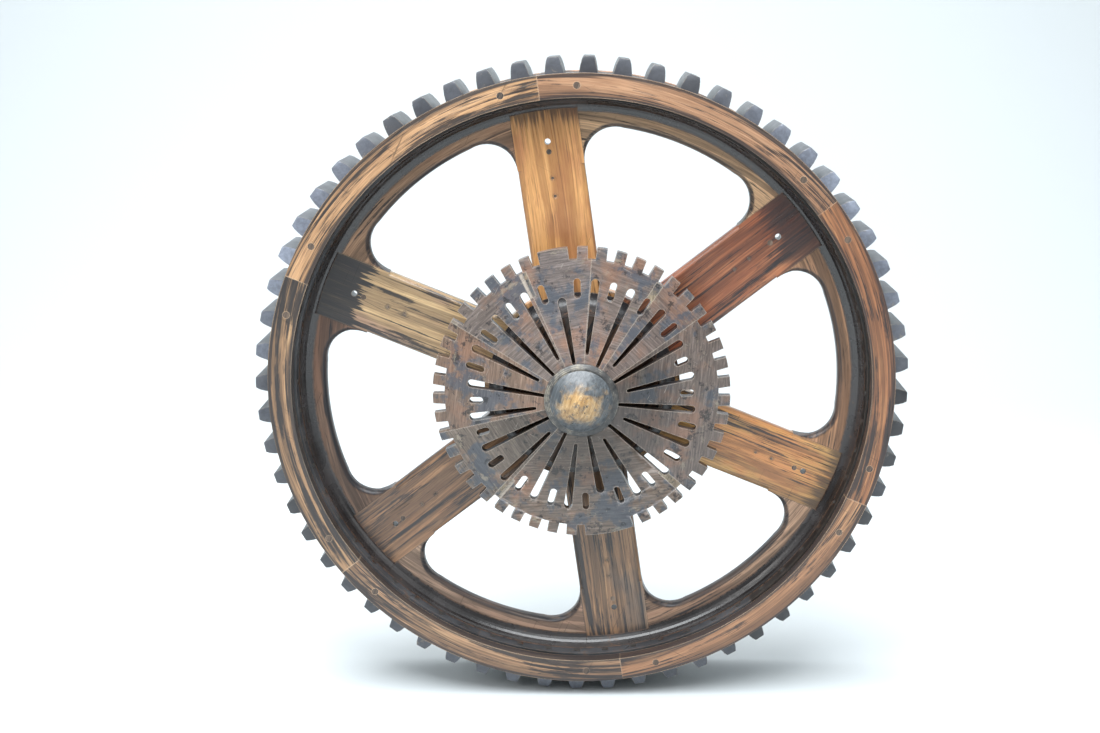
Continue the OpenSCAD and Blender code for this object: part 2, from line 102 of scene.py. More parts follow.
class Tree:
    """A material's node tree, with short calls for the nodes used here.

    bend, where it is given, makes the grain follow the ring: 0 follows it fully, and 1 leaves
    the distance across the grain as it is on a straight board."""

    def __init__(self, name, bend=None):
        self.bend = bend
        self.mat = bpy.data.materials.new(name)
        self.mat.use_nodes = True
        self.nt = self.mat.node_tree
        self.nt.nodes.clear()
        self.out = self.add("ShaderNodeOutputMaterial")
        self.bsdf = self.add("ShaderNodeBsdfPrincipled")
        self.link(self.bsdf.outputs[0], self.out.inputs[0])

    def add(self, kind, **settings):
        node = self.nt.nodes.new(kind)
        for key, value in settings.items():
            setattr(node, key, value)
        return node

    def link(self, a, b):
        self.nt.links.new(a, b)

    def put(self, socket, value):
        """Links a socket, or sets a number, vector or colour."""
        if isinstance(value, bpy.types.NodeSocket):
            self.link(value, socket)
        elif isinstance(value, (tuple, list)) and len(value) == 3 and socket.type == "RGBA":
            socket.default_value = (*value, 1.0)
        else:
            socket.default_value = value

    def math(self, op, a, b=0.0, clamp=False):
        node = self.add("ShaderNodeMath", operation=op, use_clamp=clamp)
        self.put(node.inputs[0], a)
        self.put(node.inputs[1], b)
        return node.outputs[0]

    def vec(self, op, a, b=(0.0, 0.0, 0.0)):
        node = self.add("ShaderNodeVectorMath", operation=op)
        self.put(node.inputs[0], a)
        self.put(node.inputs[1], b)
        return node.outputs["Value"] if op in ("LENGTH", "DOT_PRODUCT") else node.outputs[0]

    def mix(self, fac, a, b, blend="MIX"):
        node = self.add("ShaderNodeMix", data_type="RGBA", blend_type=blend, clamp_factor=True)
        self.put(node.inputs[0], fac)
        self.put(node.inputs[6], a)
        self.put(node.inputs[7], b)
        return node.outputs[2]

    def span(self, value, low, high, to_low=0.0, to_high=1.0, smooth=True):
        """Maps low..high to to_low..to_high and holds the ends."""
        node = self.add("ShaderNodeMapRange", clamp=True,
                        interpolation_type="SMOOTHSTEP" if smooth else "LINEAR")
        self.put(node.inputs[0], value)
        for i, v in enumerate((low, high, to_low, to_high)):
            self.put(node.inputs[1 + i], v)
        return node.outputs[0]

    def ramp(self, fac, stops):
        node = self.add("ShaderNodeValToRGB")
        els = node.color_ramp.elements
        while len(els) < len(stops):
            els.new(0.5)
        for el, (pos, colour) in zip(els, stops):
            el.position = pos
            el.color = (*colour, 1.0)
        self.put(node.inputs[0], fac)
        return node.outputs[0]

    def noise(self, vec, scale=1.0, detail=3.0, rough=0.55, warp=0.0):
        node = self.add("ShaderNodeTexNoise")
        self.put(node.inputs["Vector"], vec)
        node.inputs["Scale"].default_value = scale
        node.inputs["Detail"].default_value = detail
        node.inputs["Roughness"].default_value = rough
        node.inputs["Distortion"].default_value = warp
        return node.outputs[0]

    def place(self, turn=0.0, seed=0.0, stretch=(1.0, 1.0, 1.0), straight=False):
        """Object coordinates with +X along direction `turn`, shifted by the seed and stretched."""
        spin = self.add("ShaderNodeVectorRotate", rotation_type="Y_AXIS")
        self.put(spin.inputs["Vector"], self.raw())
        spin.inputs["Angle"].default_value = math.radians(90.0 - turn)
        at = spin.outputs[0]
        if self.bend is not None and not straight:
            x, y, z = self.split(at)
            across = self.math("ADD", self.math("MULTIPLY", self.radius(), 1.0 - self.bend),
                               self.math("MULTIPLY", z, self.bend))
            around = self.math("MULTIPLY", self.math("ARCTAN2", x, z), RIM_MID_R)
            join = self.add("ShaderNodeCombineXYZ")
            for socket, value in zip(join.inputs, (around, y, across)):
                self.link(value, socket)
            at = join.outputs[0]
        move = self.vec("ADD", at, (seed * 1.37, seed * 0.71, seed * 2.13))
        return self.vec("MULTIPLY", move, stretch)

    def grey(self, value):
        """One number as all three channels."""
        join = self.add("ShaderNodeCombineXYZ")
        for socket in join.inputs:
            self.link(value, socket)
        return join.outputs[0]

    def split(self, vec):
        node = self.add("ShaderNodeSeparateXYZ")
        self.link(vec, node.inputs[0])
        return node.outputs

    def raw(self):
        return self.add("ShaderNodeTexCoord").outputs["Object"]

    def radius(self):
        flat = self.vec("MULTIPLY", self.raw(), (1.0, 0.0, 1.0))
        return self.vec("LENGTH", flat)

    def edges(self, reach):
        """1 on convex and concave edges within reach, 0 on flats."""
        bevel = self.add("ShaderNodeBevel", samples=4)
        bevel.inputs["Radius"].default_value = reach
        normal = self.add("ShaderNodeNewGeometry").outputs["Normal"]
        turn = self.vec("DOT_PRODUCT", bevel.outputs[0], normal)
        return self.span(turn, 0.98, 0.70)

    def crevice(self, reach):
        """1 in corners and under overhangs, 0 in the open."""
        ao = self.add("ShaderNodeAmbientOcclusion", samples=6)
        ao.inputs["Distance"].default_value = reach
        return self.math("SUBTRACT", 1.0, ao.outputs["AO"])

    def finish(self, colour, rough, height=None, bump=0.3, depth=0.001, coat=0.0, coat_rough=0.2,
               metal=0.0, spec=0.5, normal=None):
        self.put(self.bsdf.inputs["Base Color"], colour)
        self.put(self.bsdf.inputs["Roughness"], rough)
        self.bsdf.inputs["Metallic"].default_value = metal
        self.bsdf.inputs["Specular IOR Level"].default_value = spec
        self.bsdf.inputs["Coat Weight"].default_value = coat
        self.bsdf.inputs["Coat Roughness"].default_value = coat_rough
        if height is not None:
            node = self.add("ShaderNodeBump")
            node.inputs["Strength"].default_value = bump
            node.inputs["Distance"].default_value = depth
            self.put(node.inputs["Height"], height)
            if normal is not None:
                self.link(normal, node.inputs["Normal"])
            self.link(node.outputs[0], self.bsdf.inputs["Normal"])
        return self.mat


RUBBED_WOOD = (0.66, 0.52, 0.38)
CRACK_TONE = (0.012, 0.009, 0.008)
BAND_FADE = 0.0035                 # soft border of a dark band


def blend_tones(a, b, share):
    return tuple(x * (1 - share) + y * share for x, y in zip(a, b))


def scale_tone(tone, factor, lift=0.0):
    return tuple(c * factor + lift for c in tone)


def grain(t, turn, seed, wave=1.0):
    """Growth lines, fibres and pores of a board whose grain runs along `turn`: three factors."""
    base = t.place(turn, seed)
    bend = t.add("ShaderNodeTexNoise")
    t.put(bend.inputs["Vector"], t.vec("MULTIPLY", base, (2.2, 5.0, 5.0)))
    bend.inputs["Scale"].default_value = 1.0
    bend.inputs["Detail"].default_value = 2.0
    shift = t.vec("SUBTRACT", bend.outputs["Color"], (0.5, 0.5, 0.5))
    base = t.vec("ADD", base, t.vec("MULTIPLY", shift, (0.0, 0.034, 0.034)))
    wide = t.noise(t.vec("MULTIPLY", base, (0.9, 60.0, 95.0 * wave)), detail=2.0, rough=0.6)
    fine = t.noise(t.vec("MULTIPLY", base, (2.0, 200.0, 280.0 * wave)), detail=2.0, rough=0.6)
    lines = t.math("ADD", t.math("MULTIPLY", t.span(wide, 0.38, 0.62), 0.6),
                   t.math("MULTIPLY", t.span(fine, 0.36, 0.64), 0.4))
    fibre = t.noise(t.vec("MULTIPLY", base, (15.0, 300.0, 440.0)), detail=4.0, rough=0.65)
    pores = t.noise(t.vec("MULTIPLY", base, (34.0, 700.0, 950.0)), detail=2.0, rough=0.5)
    return lines, fibre, t.span(pores, 0.58, 0.70)


def cracks(t, turn, seed, amount):
    """Fine drying checks along the grain."""
    field = t.noise(t.place(turn, seed + 8.0, (1.5, 20.0, 95.0)), detail=3.0, rough=0.6)
    thin = t.span(t.math("ABSOLUTE", t.math("SUBTRACT", field, 0.5)), 0.0, 0.010, 1.0, 0.0)
    where = t.noise(t.place(turn, seed + 9.0, (3.0, 8.0, 8.0)), detail=2.0)
    return t.math("MULTIPLY", thin, t.span(where, 0.62 - amount, 0.70 - amount))


def facing_aside(t, reach=0.003, low=0.010, high=0.09):
    """1 on faces turned away from the axis, such as rounded window edges, with a soft border."""
    bevel = t.add("ShaderNodeBevel", samples=4)
    bevel.inputs["Radius"].default_value = reach
    along = t.vec("DOT_PRODUCT", bevel.outputs[0], (0.0, 1.0, 0.0))
    return t.span(t.math("SUBTRACT", 1.0, t.math("ABSOLUTE", along)), low, high)


def scuffs(t, seed, scale=1.0):
    """Thin scratches in two directions."""
    total = None
    for turn in (25.0, 118.0):
        hair = t.noise(t.place(turn, seed, (7.0 * scale, 420.0 * scale, 420.0 * scale), True),
                       detail=1.0)
        hair = t.span(hair, 0.70, 0.76)
        total = hair if total is None else t.math("MAXIMUM", total, hair)
    where = t.noise(t.place(0.0, seed + 2.0, (12.0, 12.0, 12.0), True), detail=2.0)
    return t.math("MULTIPLY", total, t.span(where, 0.46, 0.60))


def worked_edge(t, turn, until, reach=0.0075):
    """Edges rubbed round as far out as `until` along the arm: the shading normal and a mask."""
    bevel = t.add("ShaderNodeBevel", samples=6)
    bevel.inputs["Radius"].default_value = reach
    flat = t.add("ShaderNodeNewGeometry").outputs["Normal"]
    heading = math.radians(turn)
    out = t.vec("DOT_PRODUCT", t.raw(), (math.sin(heading), 0.0, math.cos(heading)))
    inside = t.span(out, until - 0.014, until + 0.004, 1.0, 0.0)
    blend = t.add("ShaderNodeMix", data_type="VECTOR", clamp_factor=True)
    t.put(blend.inputs[0], inside)
    t.link(flat, blend.inputs[4])
    t.link(bevel.outputs[0], blend.inputs[5])
    turned = t.span(t.vec("DOT_PRODUCT", bevel.outputs[0], flat), 0.996, 0.90)
    return blend.outputs[1], t.math("MULTIPLY", turned, inside)


def old_wood(name, turn, seed, light, mid, dark, grime=0.5, grime_and_shade_tone=(0.018, 0.019, 0.023),
             black=None, blotch=None, rough=(0.30, 0.50), crack=0.05, edge=0.6, coat=0.2,
             wave=1.0, rounds=0.0, bands=(), band_dark=0.93, fray=0.12, bend=None, lip=None,
             black_depth=0.95, spec=0.5):
    """Worn, waxed wood, with its grain along `turn`.

    grime is how much of it is stained with grime_and_shade_tone, and blotch a second tone in patches.
    black=(inner, outer) darkens it outwards from one radius to the other, by black_depth.
    bands are radii between which it is dark, by band_dark, with an edge ragged by fray.
    rounds is how far rounded edges are blackened, and lip is how far out along an arm its edges
    are rubbed round."""
    t = Tree(name, bend)
    lines, fibre, pores = grain(t, turn, seed, wave)
    broad = t.noise(t.place(turn, seed + 1.0, (3.0, 13.0, 13.0)), detail=3.0, rough=0.6)
    tone = t.math("ADD", t.math("MULTIPLY", fibre, 0.55), t.math("MULTIPLY", broad, 0.45))
    colour = t.ramp(tone, [(0.34, blend_tones(mid, dark, 0.35)), (0.50, mid), (0.66, light)])
    if blotch is not None:
        patch = t.noise(t.place(turn, seed + 2.0, (5.0, 12.0, 12.0)), detail=4.0, rough=0.6)
        colour = t.mix(t.span(patch, 0.47, 0.62, 0.0, 0.8), colour, blotch)
    colour = t.mix(t.span(lines, 0.25, 0.85, 0.55, 0.0), colour, dark)
    colour = t.mix(t.math("MULTIPLY", pores, 0.45), colour, dark)
    stain = t.noise(t.place(turn, seed + 4.0, (5.0, 22.0, 30.0)), detail=6.0, rough=0.68, warp=0.4)
    streak = t.noise(t.place(turn, seed + 5.0, (3.6, 120.0, 270.0)), detail=4.0, rough=0.62)
    blots = t.math("ADD", stain, t.math("MULTIPLY", t.math("SUBTRACT", streak, 0.5), 0.85))
    stain = t.span(blots, 0.70 - 0.25 * grime, 0.80 - 0.24 * grime)
    thread = t.math("MULTIPLY", t.span(streak, 0.62 - 0.10 * grime, 0.72 - 0.08 * grime), 0.6)
    # painted shade: corners and spots under overhangs are darkened, and this joins the grime mask
    corner = t.span(t.crevice(0.022), 0.15, 0.8)
    grime_and_shade = t.math("MAXIMUM", t.math("MULTIPLY", stain, 0.92), t.math("MULTIPLY", corner, 0.88))
    grime_and_shade = t.math("MAXIMUM", grime_and_shade, thread)
    ragged = t.math("MULTIPLY", t.math("SUBTRACT", streak, 0.5), 0.055)
    ragged = t.math("ADD", ragged, t.math("MULTIPLY", t.math("SUBTRACT", broad, 0.5), 0.03))
    spread = t.math("ADD", t.radius(), ragged)
    if black is not None:
        amount = t.span(spread, black[0], black[1], -0.6, 1.6, smooth=False)
        amount = t.math("ADD", amount, t.math("MULTIPLY", t.math("SUBTRACT", blots, 0.5), 1.5))
        soft = 0.10 if black_depth > 0.9 else 0.34
        grime_and_shade = t.math("MAXIMUM", grime_and_shade, t.span(amount, 0.5 - soft, 0.5 + soft, 0.0, black_depth))
    thin = t.math("ADD", t.radius(), t.math("MULTIPLY", ragged, fray))
    for low, high in bands:
        band = t.math("MULTIPLY", t.span(thin, low, low + BAND_FADE),
                      t.span(thin, high - BAND_FADE, high, 1.0, 0.0))
        grime_and_shade = t.math("MAXIMUM", grime_and_shade, t.math("MULTIPLY", band, band_dark))
    normal = None
    if lip is not None:
        normal, rim = worked_edge(t, turn, lip)
        rim = t.math("MULTIPLY", rim, t.span(blots, 0.36, 0.50))
        grime_and_shade = t.math("MAXIMUM", grime_and_shade, t.math("MULTIPLY", rim, rounds))
    elif rounds > 0:
        worn = t.span(streak, 0.40, 0.60, 1.0, 0.75)
        turned = t.math("MULTIPLY", facing_aside(t), worn)
        grime_and_shade = t.math("MAXIMUM", grime_and_shade, t.math("MULTIPLY", turned, rounds))
    grime_and_shade = t.math("MULTIPLY", grime_and_shade, t.span(fibre, 0.20, 0.50, 0.80, 1.0))
    # grime, black paint and the painted shade all darken to this one tone
    colour = t.mix(grime_and_shade, colour, grime_and_shade_tone)
    rub = t.math("MULTIPLY", t.edges(0.0026), t.span(broad, 0.36, 0.56))
    colour = t.mix(t.math("MULTIPLY", rub, edge), colour, blend_tones(light, RUBBED_WOOD, 0.5))
    split = cracks(t, turn, seed, crack)
    colour = t.mix(t.math("MAXIMUM", split, t.math("MULTIPLY", scuffs(t, seed), 0.55)), colour,
                   CRACK_TONE)
    gloss = t.math("ADD", t.math("MULTIPLY", fibre, 0.5), t.math("MULTIPLY", broad, 0.5))
    sheen = t.span(gloss, 0.3, 0.7, rough[0], rough[1], smooth=False)
    dent = t.noise(t.place(turn, seed + 6.0, (14.0, 30.0, 30.0)), detail=2.0)
    height = t.math("ADD", t.math("MULTIPLY", fibre, 0.30), t.math("MULTIPLY", lines, 0.12))
    height = t.math("ADD", height, t.math("MULTIPLY", dent, 0.9))
    height = t.math("SUBTRACT", height, t.math("MULTIPLY", pores, 0.15))
    height = t.math("SUBTRACT", height, t.math("MULTIPLY", split, 0.8))
    return t.finish(colour, sheen, height, bump=0.5, depth=0.0012, coat=coat, coat_rough=0.24,
                    normal=normal, spec=spec)


def black_paint(name, seed, tone, worn, wear=0.35, gloss=(0.14, 0.34), coat=0.35, tint=None):
    """Old gloss paint over wood, rubbed through at edges and in streaks.

    tint=(attribute, colour) fades to a second colour by a number stored on the mesh."""
    t = Tree(name)
    fibre = t.noise(t.place(0.0, seed + 3.0, (60.0, 260.0, 60.0)), detail=3.0, rough=0.65)
    cloud = t.noise(t.place(0.0, seed, (9.0, 14.0, 9.0)), detail=5.0, rough=0.65)
    fine = t.noise(t.place(0.0, seed + 2.0, (130.0, 130.0, 130.0)), detail=4.0, rough=0.7)
    colour = t.mix(t.span(cloud, 0.35, 0.65), tone, scale_tone(tone, 2.1, 0.006))
    if tint is not None:
        # painted reflection: a pale blue-grey tint, strongest on faces turned to the front
        much = t.add("ShaderNodeAttribute", attribute_name=tint[0]).outputs["Fac"]
        normal = t.add("ShaderNodeNewGeometry").outputs["Normal"]
        ahead = t.vec("DOT_PRODUCT", normal, (0.0, -1.0, 0.0))
        much = t.math("MULTIPLY", much, t.span(ahead, 0.55, 0.90, 0.12, 1.0))
        colour = t.mix(much, colour, t.mix(t.span(fine, 0.35, 0.65), tint[1],
                                           scale_tone(tint[1], 0.7)))
    edge = t.math("MULTIPLY", t.edges(0.0030), t.span(fine, 0.36, 0.56))
    patch = t.span(t.math("ADD", t.math("MULTIPLY", cloud, 0.55),
                          t.math("MULTIPLY", fine, 0.45)), 0.66 - 0.14 * wear, 0.72 - 0.12 * wear)
    bare = t.math("MAXIMUM", t.math("MULTIPLY", edge, wear * 1.6, clamp=True),
                  t.math("MULTIPLY", patch, wear, clamp=True))
    colour = t.mix(bare, colour, t.mix(fibre, scale_tone(worn, 0.5), worn))
    # painted shade: the paint is darkened in corners and crevices
    crevice_shade = t.span(t.crevice(0.03), 0.25, 0.9, 0.0, 0.45)
    colour = t.mix(crevice_shade, colour, scale_tone(tone, 0.5))
    sheen = t.span(t.math("ADD", cloud, t.math("MULTIPLY", bare, 0.6)), 0.35, 1.1,
                   gloss[0], gloss[1] + 0.25, smooth=False)
    height = t.math("ADD", t.math("MULTIPLY", fine, 0.25), t.math("MULTIPLY", cloud, 0.9))
    height = t.math("SUBTRACT", height, t.math("MULTIPLY", bare, 0.12))
    return t.finish(colour, sheen, height, bump=0.5, depth=0.0014, coat=coat, coat_rough=0.14)


def iron(name, seed, tone, rust=0.3, rough=0.5):
    """Dull metal with darker, rusty or tarnished spots."""
    t = Tree(name)
    cloud = t.noise(t.place(0.0, seed, (90.0, 90.0, 90.0)), detail=5.0, rough=0.65)
    spots = t.span(cloud, 0.60 - 0.2 * rust, 0.74 - 0.2 * rust)
    colour = t.mix(spots, tone, (0.10, 0.045, 0.022))
    sheen = t.span(cloud, 0.3, 0.7, rough - 0.12, rough + 0.2, smooth=False)
    return t.finish(colour, sheen, cloud, bump=0.4, depth=0.0004, metal=0.75)


def dress(node, material):
    """Puts the material on a CAD node."""
    ob = NODES[node]
    if not ob.data.materials:
        ob.data.materials.append(None)
    for slot in ob.material_slots:
        slot.link = "OBJECT"
        slot.material = material


def soften(node, width, segments=2):
    """Rounds a CAD node's sharp edges with modifiers."""
    ob = NODES[node]
    weld = ob.modifiers.new("weld", "WELD")
    weld.merge_threshold = 0.00002
    round_ = ob.modifiers.new("round", "BEVEL")
    round_.width = width
    round_.segments = segments
    round_.limit_method = "ANGLE"
    round_.angle_limit = math.radians(32)
    round_.use_clamp_overlap = True
    shade = ob.modifiers.new("normals", "WEIGHTED_NORMAL")
    shade.keep_sharp = False


def polar(radius, angle, y):
    a = math.radians(angle)
    return Vector((radius * math.sin(a), y, radius * math.cos(a)))


def piece(name, bm, material, body, replaced, smooth_angle=35):
    """Turns a bmesh into a finished object that stands for CAD nodes."""
    bmesh.ops.recalc_face_normals(bm, faces=bm.faces)
    mesh = bpy.data.meshes.new(name)
    bm.to_mesh(mesh)
    bm.free()
    ob = bpy.data.objects.new(name, mesh)
    bpy.context.scene.collection.objects.link(ob)
    mesh.materials.append(material)
    for poly in mesh.polygons:
        poly.use_smooth = True
    mesh.set_sharp_from_angle(angle=math.radians(smooth_angle))
    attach(ob, body)
    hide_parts(replaced)


# --- camera: where the photograph was taken from, fitted to the tooth tips and the collar ---

cam_data = bpy.data.cameras.new("camera")
cam_data.sensor_width = 36.0
cam_data.lens = 45.88
cam_data.shift_x = -0.0455
camera = bpy.data.objects.new("camera", cam_data)
camera.location = (0.0239, -2.0986, 0.5365)
camera.rotation_euler = [math.radians(a) for a in (76.291, -0.286, -0.025)]
bpy.context.scene.collection.objects.link(camera)
bpy.context.scene.camera = camera

# --- materials ---

# Each board has its own tones and its own seed, which shifts the noise so that no two match.
# A table has one row to a board, clockwise from the board at the top or just past it. Names
# such as LOW_CORES hold rows counted from 0.

RIM_TONES = [                      # light, mid, dark, grime
    ((0.57, 0.340, 0.200), (0.38, 0.205, 0.115), (0.075, 0.040, 0.028), 0.68),
    ((0.54, 0.280, 0.125), (0.36, 0.155, 0.072), (0.055, 0.028, 0.020), 0.78),
    ((0.56, 0.310, 0.155), (0.37, 0.185, 0.095), (0.055, 0.030, 0.021), 0.76),
    ((0.60, 0.370, 0.200), (0.36, 0.205, 0.115), (0.050, 0.030, 0.021), 0.92),
    ((0.60, 0.380, 0.200), (0.35, 0.205, 0.110), (0.040, 0.026, 0.020), 0.92),
    ((0.72, 0.440, 0.240), (0.50, 0.285, 0.145), (0.100, 0.054, 0.032), 0.66),
]
COLLAR_EDGES = ((0.425, 0.4405), (0.4635, 0.480))
# inside of the rim: near-black on the upper cores as painted shade, lighter and bluer on the low
# cores as painted light and sheen
CORE_SHADED_TONE = (0.009, 0.007, 0.006)
CORE_LIT_TONE = (0.030, 0.031, 0.034)
LOW_CORES = (2, 3, 4)              # where the light from above reaches the inside of the rim, painted there in a lighter tone
# worn through to more brown wood: partly wear, partly painted light on these lit cores
WORN_AND_LIT_CORES = (2, 3)

for k, (light, mid, dark, grime) in enumerate(RIM_TONES):
    along = WHEEL_TURN + (k + 0.5) * ARM_STEP + 90
    wood = old_wood(f"rim_face_{k + 1}", along, 10.0 + 3 * k, light, mid, dark, grime,
                    crack=0.09, edge=0.85, rough=(0.26, 0.46), coat=0.2,
                    bands=COLLAR_EDGES, band_dark=0.88, fray=0.36, bend=0.12)
    dress(f"rim_front_{k + 1}", wood)
    soften(f"rim_front_{k + 1}", 0.0024, 3)
    back = old_wood(f"rim_back_{k + 1}", along, 40.0 + 3 * k, light, mid, dark, grime + 0.1,
                    crack=0.05, edge=0.6, rough=(0.38, 0.60), bend=0.12)
    dress(f"rim_back_{k + 1}", back)
    soften(f"rim_back_{k + 1}", 0.0024, 3)
    # lit and shaded copies of the rim's inside: painted light on the low cores, painted shade on
    # the others
    core = black_paint(f"rim_core_{k + 1}", 70.0 + 3 * k,
                       CORE_LIT_TONE if k in LOW_CORES else CORE_SHADED_TONE, (0.16, 0.095, 0.060),
                       wear=0.8 if k in WORN_AND_LIT_CORES else 0.35, gloss=(0.30, 0.45), coat=0.1)
    dress(f"rim_core_{k + 1}", core)
    soften(f"rim_core_{k + 1}", 0.0008, 1)

COVE = black_paint("fillet_black", 95.0, (0.014, 0.012, 0.012), (0.17, 0.090, 0.050), wear=0.50,
                   gloss=(0.18, 0.30), coat=0.4)
for node in ("cove_front", "cove_back"):
    dress(node, COVE)

# light, mid, dark, grime, blotch, radii from and to which it blackens, how black its edges are
ARM_TONES = [
    ((0.94, 0.57, 0.245), (0.76, 0.395, 0.150), (0.26, 0.105, 0.038), 0.20, (0.52, 0.22, 0.100),
     (0.370, 0.440), 0.75),
    ((0.48, 0.205, 0.095), (0.30, 0.105, 0.050), (0.050, 0.022, 0.017), 0.62, (0.38, 0.100, 0.038),
     (0.310, 0.420), 0.85),
    ((0.84, 0.55, 0.200), (0.58, 0.320, 0.105), (0.075, 0.036, 0.022), 0.62, (0.50, 0.200, 0.075),
     (0.365, 0.430), 0.85),
    ((0.54, 0.32, 0.160), (0.30, 0.165, 0.085), (0.032, 0.024, 0.021), 0.88, (0.16, 0.120, 0.095),
     (0.385, 0.440), 0.80),
    ((0.44, 0.25, 0.128), (0.25, 0.132, 0.068), (0.034, 0.024, 0.020), 0.82, (0.28, 0.140, 0.068),
     (0.380, 0.440), 0.85),
    ((0.70, 0.50, 0.270), (0.50, 0.330, 0.170), (0.120, 0.080, 0.048), 0.46, (0.44, 0.270, 0.190),
     (0.330, 0.392), 0.95),
]
CRACKED_ARMS = (1, 2)
BLACKEST_ARM = 5

for k, (light, mid, dark, grime, blotch, ends, rounds) in enumerate(ARM_TONES):
    wood = old_wood(f"arm_wood_{k + 1}", WHEEL_TURN + k * ARM_STEP, 110.0 + 5 * k, light, mid, dark,
                    grime, black=ends, blotch=blotch, crack=0.13 if k in CRACKED_ARMS else 0.04,
                    edge=0.3, rough=(0.24, 0.42), coat=0.3, wave=0.9, rounds=rounds, lip=CORNER_Y,
                    black_depth=0.96 if k == BLACKEST_ARM else 0.74)
    dress(f"arm_{k + 1}", wood)
    soften(f"arm_{k + 1}", 0.0010, 2)

WEB_TONES = [(0.98, 0.62, 0.360), (0.72, 0.40, 0.225), (0.60, 0.38, 0.250),
             (0.56, 0.38, 0.270), (0.24, 0.15, 0.105), (0.60, 0.36, 0.220)]
WEB_WOOD = [old_wood(f"web_wood_{k + 1}", WHEEL_TURN + (k + 0.5) * ARM_STEP + 90, 150.0 + 4 * k,
                     tone, blend_tones(tone, (0.0, 0.0, 0.0), 0.45), (0.032, 0.024, 0.021), 0.42,
                     blotch=blend_tones(tone, (0.16, 0.06, 0.03), 0.5), crack=0.03, edge=0.1,
                     rough=(0.26, 0.42), coat=0.10, spec=0.3, rounds=0.97,
                     bands=((0.4110, 0.440),), bend=0.25)
            for k, tone in enumerate(WEB_TONES)]

TOOTH_PAINT = [black_paint(f"tooth_paint_{k + 1}", 180.0 + 3 * k, (0.026, 0.026, 0.028),
                           (0.42, 0.37, 0.31), wear=0.55, gloss=(0.30, 0.46), coat=0.12,
                           tint=("pale", (0.27, 0.30, 0.37)))
               for k in range(ARMS)]

DISC_TONES = [(0.122, 0.094, 0.082), (0.122, 0.092, 0.080), (0.112, 0.086, 0.074),
              (0.125, 0.092, 0.072), (0.120, 0.092, 0.072), (0.150, 0.098, 0.070),
              (0.124, 0.098, 0.086), (0.128, 0.104, 0.096)]


def disc_wood(name, turn, seed, tone, inner=1.0):
    """Grey-brown, dry, stained board with blue-grey clouds and pale rubbed edges.

    inner is how bright it is near the dome, as a share of what it is at its edge."""
    t = Tree(name)
    _, fibre, pores = grain(t, turn, seed, 1.6)
    pale = scale_tone(tone, 2.1, 0.03)
    deep = scale_tone(tone, 0.30)
    cross = t.noise(t.place(turn, seed + 7.0, (32.0, 260.0, 400.0)), detail=5.0, rough=0.72)
    tone_f = t.math("ADD", t.math("MULTIPLY", fibre, 0.4), t.math("MULTIPLY", cross, 0.6))
    colour = t.ramp(tone_f, [(0.30, deep), (0.50, tone), (0.72, pale)])
    warm = t.noise(t.place(turn, seed + 2.5, (13.0, 13.0, 13.0)), detail=5.0, rough=0.65)
    colour = t.mix(t.span(warm, 0.50, 0.66, 0.0, 0.70), colour,
                   t.mix(cross, (0.10, 0.048, 0.030), (0.36, 0.195, 0.125)))
    cloud = t.noise(t.place(turn, seed + 1.0, (19.0, 19.0, 19.0)), detail=5.0, rough=0.68)
    colour = t.mix(t.span(cloud, 0.50, 0.60, 0.0, 0.82), colour,
                   t.mix(cross, (0.016, 0.021, 0.030), (0.090, 0.108, 0.135)))
    soot = t.noise(t.place(turn, seed + 3.5, (48.0, 48.0, 48.0)), detail=5.0, rough=0.75)
    colour = t.mix(t.span(soot, 0.56, 0.63, 0.0, 0.80), colour, (0.012, 0.012, 0.014))
    dry = t.noise(t.place(turn, seed + 4.5, (30.0, 120.0, 60.0)), detail=5.0, rough=0.75)
    outer = t.span(t.radius(), 0.165, 0.200, 0.35, 1.0)
    colour = t.mix(t.math("MULTIPLY", t.span(dry, 0.56, 0.68, 0.0, 0.7), outer), colour,
                   (0.27, 0.23, 0.17))
    # painted light and shade: by inner, the upper boards are brightened towards the dome and the
    # shaded boards darkened there
    shade = t.span(t.radius(), 0.100, 0.175, inner, 1.0)
    colour = t.vec("MULTIPLY", colour, t.grey(shade))
    # painted shade: darker in corners and crevices
    corner = t.span(t.crevice(0.010), 0.30, 0.90, 0.0, 0.9)
    colour = t.mix(corner, colour, (0.016, 0.014, 0.014))
    rub = t.math("MULTIPLY", t.edges(0.0024), t.span(cross, 0.30, 0.50))
    colour = t.mix(t.math("MULTIPLY", rub, 0.75), colour, (0.46, 0.39, 0.32))
    hair = scuffs(t, seed, 1.2)
    colour = t.mix(t.math("MULTIPLY", hair, 0.4), colour, (0.36, 0.32, 0.28))
    sheen = t.span(t.math("ADD", fibre, cloud), 0.7, 1.3, 0.30, 0.50, smooth=False)
    height = t.math("ADD", t.math("MULTIPLY", cross, 0.5), t.math("MULTIPLY", cloud, 0.8))
    height = t.math("SUBTRACT", height, t.math("MULTIPLY", pores, 0.15))
    return t.finish(colour, sheen, height, bump=0.6, depth=0.0010, coat=0.22, coat_rough=0.26)


SHADED_BOARDS = (2, 3, 4)          # from the right round to the lower left: darkened near the dome as painted shade, while the other boards are brightened there as painted light

